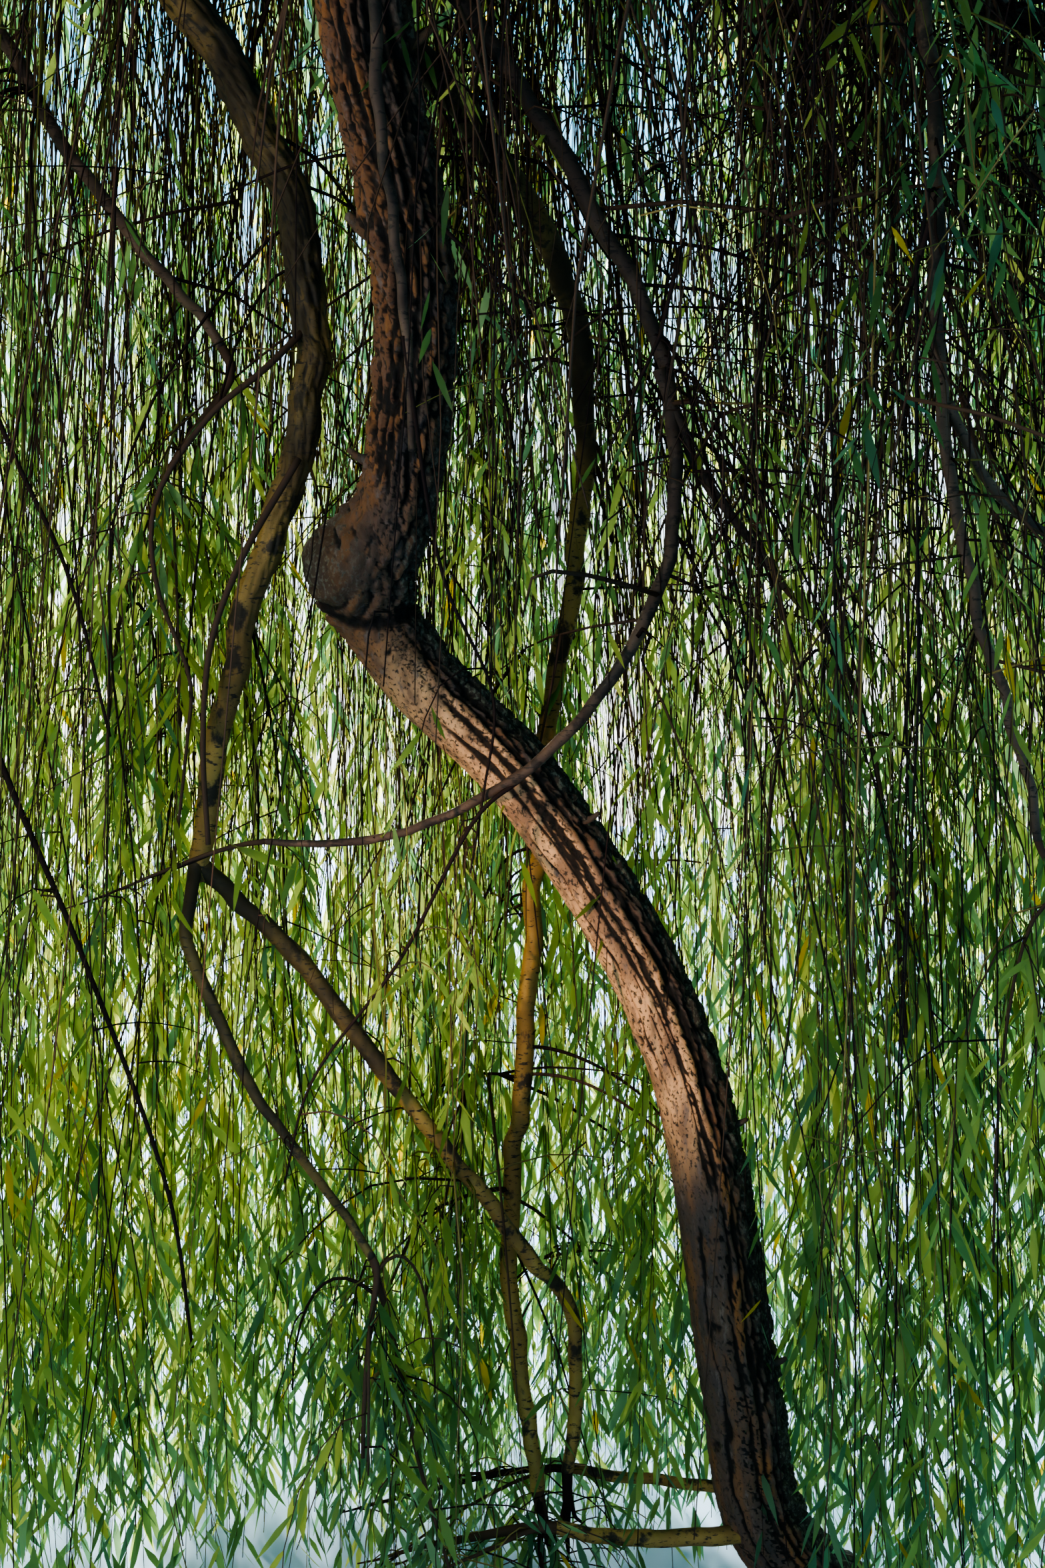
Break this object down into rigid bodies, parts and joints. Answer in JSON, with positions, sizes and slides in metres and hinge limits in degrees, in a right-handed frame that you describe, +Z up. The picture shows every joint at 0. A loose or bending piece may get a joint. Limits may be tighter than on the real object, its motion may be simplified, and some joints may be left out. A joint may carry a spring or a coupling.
{
  "type": "weeping willow tree",
  "caption": "Weeping willow with a leaning, kneed trunk, arching boughs and long foliage that hangs to near the ground all round.",
  "frame": {"origin": "middle of the flat cut where the trunk leaves the ground", "axes": "+Z up; +X to the side the trunk leans away from; -Y towards the viewer of the picture"},
  "size_m": [5.2914, 5.3986, 5.4422],
  "materials": {
    "bark": "rough furrowed bark",
    "young_bark": "thin yellow-olive bark with dark patches",
    "foliage": "thin green leaves, slightly glossy"
  },
  "bodies": {
    "root": {"base_limb_high": "young_bark", "base_limb_low": "young_bark", "curtain_bough_1": "bark", "curtain_bough_10": "bark", "curtain_bough_2": "bark", "curtain_bough_3": "bark", "curtain_bough_4": "bark", "curtain_bough_5": "bark", "curtain_bough_6": "bark", "curtain_bough_7": "bark", "curtain_bough_8": "bark", "curtain_bough_9": "bark", "curtain_mass_1": "foliage", "curtain_mass_10": "foliage", "curtain_mass_2": "foliage", "curtain_mass_3": "foliage", "curtain_mass_4": "foliage", "curtain_mass_5": "foliage", "curtain_mass_6": "foliage", "curtain_mass_7": "foliage", "curtain_mass_8": "foliage", "curtain_mass_9": "foliage", "dome_bough_1": "bark", "dome_bough_2": "bark", "dome_bough_3": "bark", "dome_bough_4": "bark", "dome_bough_5": "bark", "dome_mass_1": "foliage", "dome_mass_2": "foliage", "dome_mass_3": "foliage", "dome_mass_4": "foliage", "dome_mass_5": "foliage", "front_bough": "young_bark", "front_bough_fall": "young_bark", "front_bough_fork": "young_bark", "front_stem": "young_bark", "left_bough": "bark", "left_bough_fall": "bark", "left_hanging_branch": "young_bark", "left_inner_fork": "young_bark", "left_inner_mass": "foliage", "left_outer_fork": "young_bark", "middle_bough": "bark", "middle_bough_fall": "young_bark", "right_hanging_mass": "foliage", "right_inner_mass": "foliage", "right_low_bough": "bark", "right_side_mass": "foliage", "right_stem": "young_bark", "right_stem_fork": "young_bark", "top_mass": "foliage", "trunk": "bark", "upper_left_mass": "foliage"}
  },
  "joints": []
}
